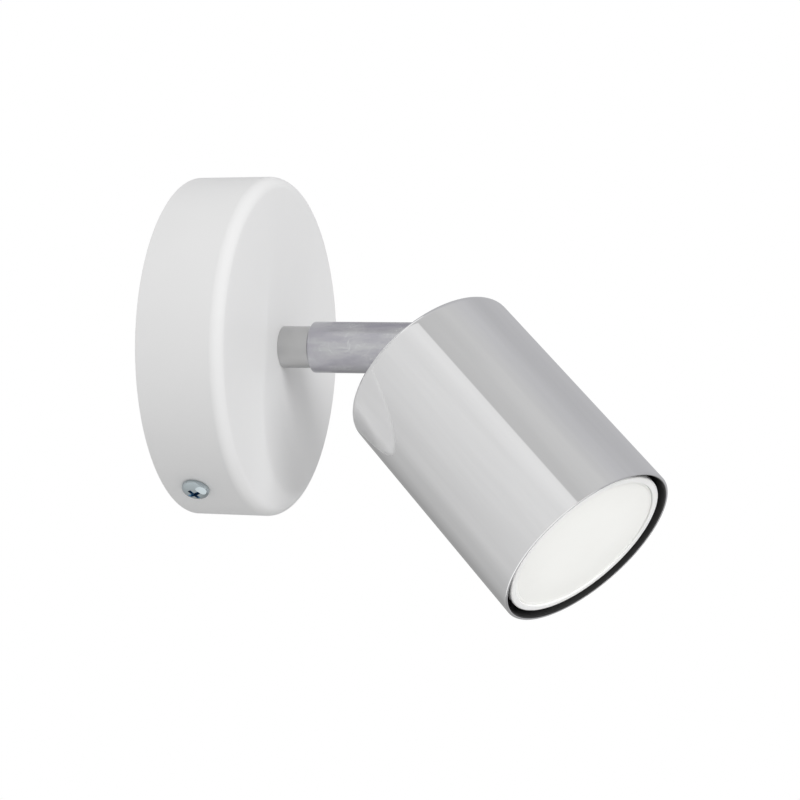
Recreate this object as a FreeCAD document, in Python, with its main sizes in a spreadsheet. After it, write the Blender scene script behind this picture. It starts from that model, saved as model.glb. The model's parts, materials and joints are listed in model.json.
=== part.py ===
import FreeCAD, Part

import math
import os
import re

import Sketcher

# Pivoting spotlight wall light, millimetres.
# Origin on the wall in the middle of the fixing plate, Z up, the light reaches out towards -Y.

SIZES = [
    # canopy, the cup on the wall
    ("canopy_diameter", 100.0),
    ("canopy_depth", 25.2),
    ("canopy_wall", 1.2),
    ("canopy_edge", 3.5),
    # gaps between pieces
    ("turning_gap", 0.05),
    ("body_gap", 0.35),
    ("loose_gap", 0.25),
    # fixing plate
    ("plate_thickness", 1.5),
    ("plate_width", 18.0),
    ("plate_ear_height", 16.0),
    ("plate_angle", 56.0),
    ("fixing_circle", 60.0),
    ("fixing_hole", 5.0),
    ("cable_hole", 12.0),
    # two screws through the side of the canopy
    ("side_screw_height", 10.0),
    ("side_thread", 4.0),
    ("side_head_diameter", 8.0),
    ("side_head_height", 2.4),
    ("side_screw_length", 8.0),
    ("cross_length", 4.6),
    ("cross_width", 1.0),
    ("cross_depth", 1.4),
    # threaded stem the arm turns on
    ("stem_diameter", 8.0),
    ("stem_bore", 5.0),
    ("stem_start", 17.5),
    ("stem_flange_height", 2.0),
    ("nut_width", 12.0),
    ("nut_height", 4.0),
    ("washer_diameter", 15.0),
    ("washer_thickness", 1.0),
    ("collar_diameter", 12.3),
    ("collar_length", 9.2),
    ("stop_pin_diameter", 1.0),
    ("stop_pin_sunk", 2.0),
    ("stop_pin_offset", 0.2),
    ("stop_depth", 1.5),
    ("stop_block_angle", 22.0),
    # arm
    ("arm_diameter", 15.0),
    ("arm_wall", 1.2),
    ("arm_end_wall", 4.0),
    ("arm_chamfer", 0.4),
    ("slip_washer_thickness", 0.5),
    # knuckle between arm and head
    ("pivot_distance", 64.7),
    ("knuckle_wall", 1.9),
    ("knuckle_chamber_depth", 4.0),
    ("knuckle_sleeve", 5.4),
    ("knuckle_wire_bore", 4.8),
    ("knuckle_spigot", 7.0),
    ("knuckle_collar", 0.6),
    ("knuckle_flange", 0.7),
    ("pivot_thread", 4.0),
    ("pivot_head_diameter", 6.8),
    ("pivot_head_seat", 4.9),
    ("pivot_head_height", 1.4),
    ("pivot_thread_depth", 4.9),
    ("pivot_slot", 0.8),
    ("pivot_washer_thickness", 0.3),
    # head, a round shell open at the front
    ("lamp_side_gap", 1.6),
    ("wiring_room", 5.7),
    ("spigot_end", 0.6),
    ("head_wall", 1.0),
    ("head_rear_wall", 1.2),
    ("head_rear_edge", 2.4),
    ("head_rim_round", 0.4),
    # lamp with a twist and lock base
    ("lamp_diameter", 50.0),
    ("lamp_length", 46.5),
    ("lamp_recess", 1.0),
    ("lamp_ring", 2.0),
    ("lamp_ring_step", 0.5),
    ("lamp_front_height", 9.0),
    ("lamp_base_diameter", 23.0),
    ("lamp_base_height", 14.0),
    ("lamp_wall", 1.6),
    ("lamp_diffuser_thickness", 1.5),
    ("lamp_seat", 1.0),
    ("lamp_board_height", 26.0),
    ("lamp_board_diameter", 30.0),
    ("lamp_board_thickness", 1.6),
    ("pin_circle", 10.0),
    ("pin_neck", 3.0),
    ("pin_neck_length", 5.0),
    ("pin_head", 5.0),
    ("pin_head_length", 2.5),
    ("lock_angle", 35.0),
    # lamp holder
    ("socket_diameter", 24.0),
    ("socket_height", 13.0),
    ("socket_floor", 4.0),
    ("socket_screw_circle", 17.0),
    ("socket_screw_angle", 107.5),
    ("socket_thread", 3.0),
    ("socket_screw_head", 5.2),
    ("socket_screw_head_height", 1.8),
    ("socket_screw_end", 2.5),
    ("contact_diameter", 4.2),
    ("contact_height", 1.4),
    ("contact_stem", 2.2),
    ("holder_thickness", 1.0),
    ("holder_width", 16.0),
    ("holder_half_length", 14.0),
    ("holder_tab_inner", 5.2),
    # wiring
    ("block_length", 12.0),
    ("block_width", 16.0),
    ("block_height", 12.0),
    ("block_offset", 17.5),
    ("pole_pitch", 8.0),
    ("insert_diameter", 4.0),
    ("insert_bore", 2.4),
    ("insert_length", 11.0),
    ("clamp_thread", 2.6),
    ("clamp_pitch", 5.6),
    ("clamp_sunk", 1.5),
    ("lead_diameter", 1.6),
    ("lead_pitch", 1.8),
    ("earth_offset", 15.0),
    ("earth_head_diameter", 7.0),
    ("earth_head_height", 2.2),
    ("eyelet_thickness", 0.6),
    ("eyelet_width", 3.0),
    ("crimp_diameter", 2.4),
    ("crimp_length", 3.0),
    ("earth_lead_diameter", 1.6),
    # how the light is set in this pose
    ("rest_swivel", 23.5),
    ("rest_tilt", 45.7),
]

doc = FreeCAD.newDocument("spotlight")
sheet = doc.addObject("Spreadsheet::Sheet", "Sizes")
for row, (alias, number) in enumerate(SIZES, start=1):
    sheet.set("A%d" % row, alias)
    sheet.set("B%d" % row, str(number))
    sheet.setAlias("B%d" % row, alias)
doc.recompute()

NAMES = {alias for alias, number in SIZES}


def bound(text):
    """Put the sheet's name before every size in an expression."""
    return re.sub(r"[a-z_]{3,}", lambda word: "Sizes." + word.group() if word.group() in NAMES else word.group(), text)


def size(text):
    """The number that an expression of sizes comes to now."""
    return float(sheet.evalExpression(bound(text)))


def step(corner, here, other, round_text):
    """The point one rounding radius away from a corner towards its neighbour."""
    moved = []
    for text, start, end in zip(corner[:2], here, other):
        if abs(end - start) < 1e-9:
            moved.append(text)
        else:
            moved.append("%s %s %s" % (text, "+" if end > start else "-", round_text))
    return tuple(moved)


def turned(name, corners):
    """A body turned about Z from corners (radius, height) or (radius, height, rounding)."""
    here = [(size(corner[0]), size(corner[1])) for corner in corners]
    points = []
    arcs = {}
    for i, corner in enumerate(corners):
        if len(corner) == 2:
            points.append(corner)
            continue
        arcs[len(points)] = (corner[2], here[i])
        points.append(step(corner, here[i], here[i - 1], corner[2]))
        points.append(step(corner, here[i], here[(i + 1) % len(corners)], corner[2]))
    body = doc.addObject("PartDesign::Body", name)
    sketch = body.newObject("Sketcher::SketchObject", name + "_profile")
    plane = [feature for feature in body.Origin.OriginFeatures if feature.Role == "XZ_Plane"][0]
    sketch.AttachmentSupport = [(plane, "")]
    sketch.MapMode = "FlatFace"
    values = [FreeCAD.Vector(size(x), size(z), 0) for x, z in points]
    ends = []
    for i, start in enumerate(values):
        end = values[(i + 1) % len(values)]
        if i not in arcs:
            sketch.addGeometry(Part.LineSegment(start, end))
            ends.append((1, 2))
            continue
        corner = FreeCAD.Vector(arcs[i][1][0], arcs[i][1][1], 0)
        centre = start + end - corner
        radius = (start - centre).Length
        first = math.atan2(start.y - centre.y, start.x - centre.x)
        last = math.atan2(end.y - centre.y, end.x - centre.x)
        forward = (last - first) % (2 * math.pi) < math.pi
        circle = Part.Circle(centre, FreeCAD.Vector(0, 0, 1), radius)
        if forward:
            sketch.addGeometry(Part.ArcOfCircle(circle, first, last))
            ends.append((1, 2))
        else:
            sketch.addGeometry(Part.ArcOfCircle(circle, last, first))
            ends.append((2, 1))
    count = len(values)
    for i in range(count):
        after = (i + 1) % count
        sketch.addConstraint(Sketcher.Constraint("Coincident", i, ends[i][1], after, ends[after][0]))
    for i, texts in enumerate(points):
        for kind, line, text, value in zip(("DistanceX", "DistanceY"), (-2, -1), texts, values[i]):
            if abs(value) < 1e-9:
                sketch.addConstraint(Sketcher.Constraint("PointOnObject", i, ends[i][0], line))
                continue
            number = sketch.addConstraint(Sketcher.Constraint(kind, -1, 1, i, ends[i][0], value))
            sketch.renameConstraint(number, "%s%d" % (kind, i))
            sketch.setExpression("Constraints.%s%d" % (kind, i), bound(text))
    for i, (text, corner) in arcs.items():
        number = sketch.addConstraint(Sketcher.Constraint("Radius", i, size(text)))
        sketch.renameConstraint(number, "Round%d" % i)
        sketch.setExpression("Constraints.Round%d" % i, bound(text))
    revolution = body.newObject("PartDesign::Revolution", name + "_turned")
    revolution.Profile = sketch
    revolution.ReferenceAxis = (sketch, ["V_Axis"])
    revolution.Angle = 360
    body.Tip = revolution
    sketch.Visibility = False
    return body


AXES = {
    "z": FreeCAD.Rotation(),
    "x": FreeCAD.Rotation(FreeCAD.Vector(0, 1, 0), 90),
    "-x": FreeCAD.Rotation(FreeCAD.Vector(0, 1, 0), -90),
}


def put(piece, x, y, z):
    """Tie where a piece starts to the sheet."""
    for letter, text in zip("xyz", (x, y, z)):
        if text != "0":
            piece.setExpression("Placement.Base." + letter, bound(text))
    return piece


def tie(piece, **texts):
    for name, text in texts.items():
        piece.setExpression(name, bound(text))
    return piece


def cylinder(radius, height, x="0", y="0", z="0", axis="z"):
    piece = doc.addObject("Part::Cylinder", "Cylinder")
    piece.Placement.Rotation = AXES[axis]
    return put(tie(piece, Radius=radius, Height=height), x, y, z)


def box(length, width, height, x="0", y="0", z="0"):
    piece = doc.addObject("Part::Box", "Box")
    return put(tie(piece, Length=length, Width=width, Height=height), x, y, z)


def joined(*pieces):
    piece = doc.addObject("Part::MultiFuse", "Joined")
    piece.Shapes = list(pieces)
    return piece


def cut(base, *tools):
    piece = doc.addObject("Part::Cut", "Cut")
    piece.Base = base
    piece.Tool = tools[0] if len(tools) == 1 else joined(*tools)
    return piece


def common(*pieces):
    piece = doc.addObject("Part::MultiCommon", "Common")
    piece.Shapes = list(pieces)
    return piece


def group(*pieces):
    piece = doc.addObject("Part::Compound", "Group")
    piece.Links = list(pieces)
    return piece


def hexagon(width, height, z):
    piece = doc.addObject("Part::Prism", "Prism")
    piece.Polygon = 6
    return put(tie(piece, Circumradius=width + " / sqrt(3)", Height=height), "0", "0", z)


def ring(outer, inner, height, z):
    """A flat washer about Z; the two radii and the height are size expressions."""
    return cut(cylinder(outer, height, z=z), cylinder(inner, height + " + 2", z=z + " - 1"))


def sector(outer, inner, height, z, angle, start):
    """Part of a flat ring, from one angle about Z over another."""
    whole = cylinder(outer, height, z=z)
    tie(whole, Angle=angle)
    whole.Placement.Rotation = FreeCAD.Rotation(FreeCAD.Vector(0, 0, 1), size(start))
    return cut(whole, cylinder(inner, height + " + 2", z=z + " - 1"))


def spun(piece, angle):
    piece.Placement = FreeCAD.Placement(FreeCAD.Vector(), FreeCAD.Rotation(FreeCAD.Vector(0, 0, 1), angle))
    return piece


def wire_solid(name, diameter, bends):
    """A round wire along straight runs joined by arcs as large as the runs allow."""
    points = [FreeCAD.Vector(*[size(text) for text in bend]) for bend in bends]
    edges = []
    last = points[0]
    for before, here, after in zip(points, points[1:], points[2:]):
        reach = 0.45 * min((here - before).Length, (after - here).Length)
        inward = (here - before).normalize()
        outward = (after - here).normalize()
        half_turn = inward.getAngle(outward) / 2
        radius = reach / math.tan(half_turn)
        print("%s turns %.0f degrees on a radius of %.1f mm" % (name, math.degrees(2 * half_turn), radius))
        start = here - inward * reach
        end = here + outward * reach
        middle = here + (outward - inward).normalize() * (radius / math.cos(half_turn) - radius)
        edges.append(Part.LineSegment(last, start).toShape())
        edges.append(Part.Arc(start, middle, end).toShape())
        last = end
    edges.append(Part.LineSegment(last, points[-1]).toShape())
    section = Part.makeCircle(size(diameter) / 2, points[0], points[1] - points[0])
    piece = doc.addObject("Part::Feature", name)
    piece.Shape = Part.Wire(edges).makePipeShell([Part.Wire(section)], True, False)
    return piece


# Where each moving body stands at rest
SQUARE = FreeCAD.Rotation(FreeCAD.Vector(1, 0, 0), 90)
SWIVEL = FreeCAD.Rotation(FreeCAD.Vector(0, 1, 0), size("rest_swivel"))
TILT = FreeCAD.Rotation(FreeCAD.Vector(1, 0, 0), size("rest_tilt"))
PIVOT = FreeCAD.Vector(0, -size("pivot_distance"), 0)
BASE = FreeCAD.Placement(FreeCAD.Vector(), SQUARE)
PLATE = FreeCAD.Placement(FreeCAD.Vector(), SQUARE * FreeCAD.Rotation(FreeCAD.Vector(0, 0, 1), size("plate_angle")))
ARM = FreeCAD.Placement(FreeCAD.Vector(), SWIVEL * SQUARE)
HEAD = FreeCAD.Placement(PIVOT, SWIVEL * SQUARE * TILT)

nodes = []


def node(label, piece, place):
    """Name a finished sub-part and set where it stands."""
    if piece.TypeId == "Part::Cylinder":
        piece = group(piece)
    piece.Label = label
    piece.Placement = place
    nodes.append(piece)


# ------------------------------------------------------------------ canopy and fixing plate
CANOPY_INSIDE = "(canopy_diameter / 2 - canopy_wall)"
CANOPY_BACK = "(canopy_depth - canopy_wall)"
EAR_OUT = "sqrt((canopy_diameter / 2 - canopy_wall - body_gap)^2 - (plate_width / 2)^2)"


def screw_profile(thread, head, head_height, length, round_text):
    """Half outline of a pan head screw, its tip at the low end and its seat at height zero."""
    return [
        ("0", "0 - (%s)" % length),
        (thread, "0 - (%s)" % length),
        (thread, "0"),
        (head, "0"),
        (head, head_height, round_text),
        ("0", head_height),
    ]


def cross_recess(top):
    """Cross slot for a screwdriver, sunk in from the top of a head that points along Z."""
    low = "%s - cross_depth" % top
    return joined(
        box("cross_length", "cross_width", "cross_depth + 1", "0 - cross_length / 2", "0 - cross_width / 2", low),
        box("cross_width", "cross_length", "cross_depth + 1", "0 - cross_width / 2", "0 - cross_length / 2", low))


def canopy():
    cup = turned("canopy_cup", [
        ("canopy_diameter / 2", "0"),
        ("canopy_diameter / 2", "canopy_depth", "canopy_edge"),
        ("stem_diameter / 2 + turning_gap", "canopy_depth"),
        ("stem_diameter / 2 + turning_gap", CANOPY_BACK),
        (CANOPY_INSIDE, CANOPY_BACK, "(canopy_edge - canopy_wall)"),
        (CANOPY_INSIDE, "0")])
    hole = cylinder("side_thread / 2 + loose_gap", "canopy_diameter + 4", "0 - canopy_diameter / 2 - 2", "0",
                    "side_screw_height", "x")
    return cut(cup, hole)


def side_screw(axis, side):
    screw = turned("side_screw_" + side, screw_profile(
        "(side_thread / 2 - turning_gap)", "side_head_diameter / 2", "side_head_height", "side_screw_length",
        "(side_head_height * 0.6)"))
    piece = cut(screw, cross_recess("side_head_height"))
    piece.Placement.Rotation = AXES[axis]
    sign = "" if side == "right" else "0 - "
    return put(piece, sign + "canopy_diameter / 2", "0", "side_screw_height")


def wall_plate():
    strip = box("2 * " + EAR_OUT, "plate_width", "plate_thickness", "0 - " + EAR_OUT, "0 - plate_width / 2")
    ears = [
        box("plate_thickness", "plate_width", "plate_ear_height", EAR_OUT + " - plate_thickness",
            "0 - plate_width / 2"),
        box("plate_thickness", "plate_width", "plate_ear_height", "0 - " + EAR_OUT, "0 - plate_width / 2")]
    through = "plate_thickness + 2"
    holes = [
        cylinder("fixing_hole / 2", through, "fixing_circle / 2", "0", "-1"),
        cylinder("fixing_hole / 2", through, "0 - fixing_circle / 2", "0", "-1"),
        cylinder("cable_hole / 2", through, "0", "0", "-1"),
        cylinder("side_thread / 2", through, "earth_offset", "0", "-1"),
        cylinder("side_thread / 2", "canopy_diameter", "0 - canopy_diameter / 2", "0", "side_screw_height", "x")]
    return cut(joined(strip, *ears), *holes)


node("wall_plate", wall_plate(), PLATE)
node("canopy", canopy(), PLATE)
node("canopy_side_screws", group(side_screw("x", "right"), side_screw("-x", "left")), PLATE)

# ------------------------------------------------------------------ threaded stem, collar and stop
WASHER_LOW = "(canopy_depth - canopy_wall - washer_thickness)"
NUT_LOW = "(canopy_depth - canopy_wall - washer_thickness - eyelet_thickness - nut_height)"
COLLAR_END = "(canopy_depth + collar_length)"
STOP_PLACE = "((stem_diameter + collar_diameter) / 4 + stop_pin_offset)"
ARM_START = "(%s + body_gap)" % COLLAR_END
END_WALL = "(%s + arm_end_wall)" % ARM_START
FLANGE_LOW = "(%s + slip_washer_thickness + body_gap)" % END_WALL
FLANGE_TOP = "(%s + stem_flange_height)" % FLANGE_LOW
ARM_INSIDE = "(arm_diameter / 2 - arm_wall)"

node("swivel_stem", turned("stem", [
    ("stem_bore / 2", "stem_start"),
    ("stem_diameter / 2", "stem_start"),
    ("stem_diameter / 2", FLANGE_LOW),
    ("arm_diameter / 2 - arm_wall - body_gap", FLANGE_LOW),
    ("arm_diameter / 2 - arm_wall - body_gap", FLANGE_TOP),
    ("stem_bore / 2", FLANGE_TOP)]), BASE)
node("stem_washer", ring("washer_diameter / 2", "stem_diameter / 2 + turning_gap", "washer_thickness",
                         WASHER_LOW), BASE)
node("stem_nut", cut(hexagon("nut_width", "nut_height", NUT_LOW),
                     cylinder("stem_diameter / 2", "nut_height + 2", z=NUT_LOW + " - 1")), BASE)
node("collar", cut(turned("collar_turned", [
    ("stem_diameter / 2 + turning_gap", "canopy_depth"),
    ("collar_diameter / 2", "canopy_depth"),
    ("collar_diameter / 2", COLLAR_END),
    ("stem_diameter / 2 + turning_gap", COLLAR_END)]),
    cylinder("stop_pin_diameter / 2", "stop_pin_sunk + 1", "0 - %s" % STOP_PLACE, "0",
             COLLAR_END + " - stop_pin_sunk")), BASE)
node("swivel_stop_pin", cylinder(
    "stop_pin_diameter / 2", "stop_pin_sunk + body_gap + stop_depth - body_gap", "0 - %s" % STOP_PLACE, "0",
    COLLAR_END + " - stop_pin_sunk"), BASE)

# ------------------------------------------------------------------ wiring inside the canopy
BLOCK_MIDDLE = "plate_thickness + block_height / 2"


def poles():
    return ["0 - pole_pitch / 2", "pole_pitch / 2"]


def clamp_places():
    return [(x, y) for y in poles() for x in ("0 - block_offset - clamp_pitch / 2", "0 - block_offset + clamp_pitch / 2")]


def terminal_block():
    body = box("block_length", "block_width", "block_height", "0 - block_offset - block_length / 2",
               "0 - block_width / 2", "plate_thickness")
    ways = [cylinder("insert_diameter / 2", "block_length + 2", "0 - block_offset - block_length / 2 - 1", y,
                     BLOCK_MIDDLE, "x") for y in poles()]
    wells = [cylinder("clamp_thread / 2", "block_height / 2 + 1", x, y, BLOCK_MIDDLE) for x, y in clamp_places()]
    return cut(body, *(ways + wells))


def terminal_insert(y):
    start = "0 - block_offset - insert_length / 2"
    tube = cylinder("insert_diameter / 2", "insert_length", start, y, BLOCK_MIDDLE, "x")
    bore = cylinder("insert_bore / 2", "insert_length + 2", start + " - 1", y, BLOCK_MIDDLE, "x")
    wells = [cylinder("clamp_thread / 2", "insert_diameter", x, y, BLOCK_MIDDLE) for x, other in clamp_places()[:2]]
    return cut(tube, bore, *wells)


def clamp_screw(x, y):
    low = "plate_thickness + block_height / 2 + lead_diameter / 2 + turning_gap"
    height = "block_height / 2 - lead_diameter / 2 - turning_gap - clamp_sunk"
    shank = cylinder("clamp_thread / 2 - turning_gap", height, x, y, low)
    slot = box("clamp_thread + 1", "0.6", "2", x + " - clamp_thread / 2 - 0.5", y + " - 0.3",
               "plate_thickness + block_height - clamp_sunk - 1")
    return cut(shank, slot)


def supply_lead(side):
    """From the terminal block into the bore of the stem and on to its end in the arm."""
    y = "%s * pole_pitch / 2" % side
    inner = "%s * lead_pitch / 2" % side
    block_end = "0 - block_offset + insert_length / 2"
    return wire_solid("supply_lead", "lead_diameter", [
        (block_end + " - 4", y, BLOCK_MIDDLE),
        (block_end + " + 1", y, BLOCK_MIDDLE),
        ("0", inner, BLOCK_MIDDLE),
        ("0", inner, FLANGE_TOP + " + 0.6")])


def earth_screw():
    seat = "(plate_thickness + eyelet_thickness)"
    screw = turned("earth_screw_turned", [
        ("0", "0.2"),
        ("side_thread / 2 - turning_gap", "0.2"),
        ("side_thread / 2 - turning_gap", seat),
        ("earth_head_diameter / 2", seat),
        ("earth_head_diameter / 2", seat + " + earth_head_height", "(earth_head_height / 2)"),
        ("0", seat + " + earth_head_height")])
    piece = cut(screw, cross_recess("plate_thickness + eyelet_thickness + earth_head_height"))
    return piece


def eyelet(radius, hole, x, z, tab):
    """Flat ring with a tab that carries the crimped barrel."""
    flat = joined(cylinder(radius, "eyelet_thickness", x, "0", z),
                  box(tab, "eyelet_width", "eyelet_thickness", x, "0 - eyelet_width / 2", z))
    return cut(flat, cylinder(hole, "3", x, "0", z + " - 1"))


def earth_lead():
    """From the earth screw on the fixing plate to an eyelet under the nut of the stem."""
    low_x = "earth_offset + earth_head_diameter / 2 + crimp_diameter / 2 + loose_gap"
    top_z = "canopy_depth - canopy_wall - washer_thickness - eyelet_thickness"
    high_z = "canopy_depth - canopy_wall - crimp_diameter / 2 - loose_gap"
    high_x = "washer_diameter / 2 + loose_gap"
    low = joined(
        eyelet("earth_head_diameter / 2", "side_thread / 2 + turning_gap", "earth_offset", "plate_thickness",
               "earth_head_diameter / 2 + crimp_diameter + loose_gap"),
        cylinder("crimp_diameter / 2", "eyelet_thickness + crimp_length", low_x, "0", "plate_thickness"))
    high = joined(
        eyelet("washer_diameter / 2 - 1", "stem_diameter / 2 + turning_gap", "0", top_z,
               "washer_diameter / 2 + loose_gap + 1"),
        cylinder("crimp_diameter / 2", "crimp_length", high_x, "0", high_z, "x"))
    wire = wire_solid("earth_wire", "earth_lead_diameter", [
        (low_x, "0", "plate_thickness + eyelet_thickness + crimp_length / 2"),
        (low_x, "0", high_z),
        (high_x + " + crimp_length / 2", "0", high_z)])
    return joined(low, high, wire)


node("terminal_block", terminal_block(), PLATE)
node("terminal_inserts", group(*[terminal_insert(y) for y in poles()]), PLATE)
node("terminal_screws", group(*[clamp_screw(x, y) for x, y in clamp_places()]), PLATE)
node("lead_live", supply_lead("1"), PLATE)
node("lead_neutral", supply_lead("-1"), PLATE)
node("earth_screw", earth_screw(), PLATE.multiply(
    FreeCAD.Placement(FreeCAD.Vector(size("earth_offset"), 0, 0), FreeCAD.Rotation())))
node("earth_lead", earth_lead(), PLATE)

# ------------------------------------------------------------------ arm
LAP_RADIUS = "arm_diameter / 2"
LAP_FACE = "body_gap / 2"
SHOULDER = "(pivot_distance - arm_diameter / 2 - body_gap)"
TUBE_END = "(%s - knuckle_collar)" % SHOULDER


def arm_tube():
    tube = turned("arm_turned", [
        ("stem_diameter / 2 + turning_gap", ARM_START),
        ("arm_diameter / 2 - arm_chamfer", ARM_START),
        ("arm_diameter / 2", ARM_START + " + arm_chamfer"),
        ("arm_diameter / 2", TUBE_END),
        (ARM_INSIDE, TUBE_END),
        (ARM_INSIDE, END_WALL),
        ("stem_diameter / 2 + turning_gap", END_WALL)])
    half_width = "(stop_pin_diameter / 2 + body_gap - 0.05)"
    groove = sector(STOP_PLACE + " + " + half_width, STOP_PLACE + " - " + half_width,
                    "stop_depth + body_gap", ARM_START + " - body_gap", "360 - stop_block_angle",
                    "stop_block_angle / 2")
    return cut(tube, groove)


def half_lap(side):
    """Half of the knuckle on one side of its middle plane, the round end about the pivot."""
    start = LAP_FACE if side > 0 else "0 - %s - %s" % (LAP_RADIUS, LAP_FACE)
    back = "0 - %s" % LAP_RADIUS
    disc = cylinder(LAP_RADIUS, LAP_RADIUS, start, "0", "0", "x")
    web_low = "0" if side > 0 else "0 - arm_diameter / 2 - body_gap - knuckle_collar"
    web_height = "arm_diameter / 2 + body_gap" if side > 0 else "arm_diameter / 2 + body_gap + knuckle_collar"
    web = box(LAP_RADIUS, "arm_diameter", web_height, start, back, web_low)
    round_bar = cylinder(LAP_RADIUS, "2 * arm_diameter", "0", "0", "0 - arm_diameter")
    return common(round_bar, joined(disc, web))


def lap_hollows(side):
    """Wire chamber round the pivot sleeve, and the pivot hole: open with a sunk seat, or blind and tapped."""
    near = LAP_FACE if side > 0 else "0 - knuckle_chamber_depth - " + LAP_FACE
    chamber = cylinder("arm_diameter / 2 - knuckle_wall", "knuckle_chamber_depth", near, "0", "0", "x")
    sleeve = cylinder("knuckle_sleeve / 2", "knuckle_chamber_depth", near, "0", "0", "x")
    around = cut(chamber, sleeve)
    if side < 0:
        return [around, cylinder("pivot_thread / 2", "pivot_thread_depth", "0 - pivot_thread_depth - " + LAP_FACE,
                                 "0", "0", "x")]
    return [around,
            cylinder("pivot_thread / 2 + turning_gap", "arm_diameter", LAP_FACE, "0", "0", "x"),
            cylinder("pivot_head_diameter / 2 + loose_gap", "arm_diameter", "pivot_head_seat", "0", "0", "x")]


def arm_knuckle():
    lap = half_lap(-1)
    neck = cylinder(LAP_RADIUS, "knuckle_collar", z="0 - arm_diameter / 2 - body_gap - knuckle_collar")
    spigot = cylinder(ARM_INSIDE, "knuckle_spigot",
                      z="0 - arm_diameter / 2 - body_gap - knuckle_collar - knuckle_spigot")
    wire_way = cylinder("knuckle_wire_bore / 2", "knuckle_spigot + knuckle_collar + body_gap + arm_diameter / 2 - 3",
                        z="0 - arm_diameter / 2 - body_gap - knuckle_collar - knuckle_spigot")
    solid = joined(lap, neck, spigot)
    return cut(solid, wire_way, *lap_hollows(-1))


def pivot_screw():
    """Screw from the head side into the tapped arm half; the head half turns on its shank."""
    head_low = "(pivot_head_seat + pivot_washer_thickness + body_gap)"
    depth = "(pivot_thread_depth + body_gap / 2 - loose_gap)"
    shank = cylinder("pivot_thread / 2", depth + " + " + head_low, "0 - " + depth, "0", "0", "x")
    head = cylinder("pivot_head_diameter / 2", "pivot_head_height", head_low, "0", "0", "x")
    slot = box("pivot_slot + 1", "pivot_head_diameter + 1", "pivot_slot", head_low + " + pivot_head_height - pivot_slot",
               "0 - pivot_head_diameter / 2 - 0.5", "0 - pivot_slot / 2")
    return cut(joined(shank, head), slot)


ARM_PIVOT = FreeCAD.Placement(PIVOT, SWIVEL * SQUARE)
node("arm_tube", arm_tube(), ARM)
node("slip_washer", ring(ARM_INSIDE, "stem_diameter / 2 + turning_gap", "slip_washer_thickness", END_WALL), ARM)
node("arm_knuckle", arm_knuckle(), ARM_PIVOT)
node("pivot_screw", pivot_screw(), ARM_PIVOT)
ARM_LEAD_LOW = "(" + FLANGE_TOP + " + 1.6)"
node("arm_leads", group(*[
    cylinder("lead_diameter / 2", "%s - %s" % (SHOULDER, ARM_LEAD_LOW), "0", y, ARM_LEAD_LOW)
    for y in ("0 - lead_pitch / 2", "lead_pitch / 2")]), ARM)

# ------------------------------------------------------------------ head
FLANGE_START = "(arm_diameter / 2 + body_gap)"
REAR = "(arm_diameter / 2 + body_gap + knuckle_flange)"
INSIDE = "(%s + head_rear_wall)" % REAR
HOLDER_TOP = "(%s + holder_thickness)" % INSIDE
SPIGOT_LENGTH = "(head_rear_wall + holder_thickness + washer_thickness + nut_height + spigot_end)"
SOCKET_LOW = "(%s + %s + wiring_room)" % (REAR, SPIGOT_LENGTH)
SOCKET_TOP = "(%s + socket_height)" % SOCKET_LOW
LAMP_BACK = "(%s + body_gap)" % SOCKET_TOP
LAMP_FACE = "(%s + lamp_length)" % LAMP_BACK
RIM = "(%s + lamp_recess)" % LAMP_FACE


def head_knuckle():
    lap = half_lap(1)
    flange = cylinder(LAP_RADIUS, "knuckle_flange", z=FLANGE_START)
    spigot = cylinder("stem_diameter / 2", SPIGOT_LENGTH, z=REAR)
    wire_way = cylinder("knuckle_wire_bore / 2", "arm_diameter / 2 + 20", z="3")
    return cut(joined(lap, flange, spigot), wire_way, *lap_hollows(1))


node("head_knuckle", head_knuckle(), HEAD)
node("pivot_washer", cut(
    cylinder("pivot_head_diameter / 2", "pivot_washer_thickness", "pivot_head_seat", "0", "0", "x"),
    cylinder("pivot_thread / 2 + turning_gap", "3", "pivot_head_seat - 1", "0", "0", "x")), HEAD)
node("head_shell", turned("head_turned", [
    ("stem_diameter / 2 + turning_gap", REAR),
    ("lamp_diameter / 2 + lamp_side_gap + head_wall", REAR, "head_rear_edge"),
    ("lamp_diameter / 2 + lamp_side_gap + head_wall", RIM, "head_rim_round"),
    ("lamp_diameter / 2 + lamp_side_gap", RIM, "head_rim_round"),
    ("lamp_diameter / 2 + lamp_side_gap", INSIDE, "(head_rear_edge - head_wall)"),
    ("stem_diameter / 2 + turning_gap", INSIDE)]), HEAD)
node("knuckle_washer", ring("washer_diameter / 2", "stem_diameter / 2 + turning_gap", "washer_thickness",
                            HOLDER_TOP), HEAD)
node("knuckle_nut", cut(hexagon("nut_width", "nut_height", HOLDER_TOP + " + washer_thickness"),
                        cylinder("stem_diameter / 2", "nut_height + 2", z=HOLDER_TOP + " + washer_thickness - 1")),
     HEAD)

# ------------------------------------------------------------------ lamp holder
CHAMBER_LOW = "(%s + socket_floor)" % SOCKET_LOW
CHAMBER_TOP = "(%s - pin_neck_length + body_gap)" % LAMP_BACK
CHAMBER_HEIGHT = "(%s - %s)" % (CHAMBER_TOP, CHAMBER_LOW)
HOLDER = FreeCAD.Rotation(FreeCAD.Vector(0, 0, 1), size("socket_screw_angle"))


def pin_place(angle):
    """Where a pin stands at an angle from the locked position, for both pins."""
    x = "pin_circle / 2 * cos(%s)" % angle
    y = "pin_circle / 2 * sin(%s)" % angle
    return (x, y)


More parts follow.
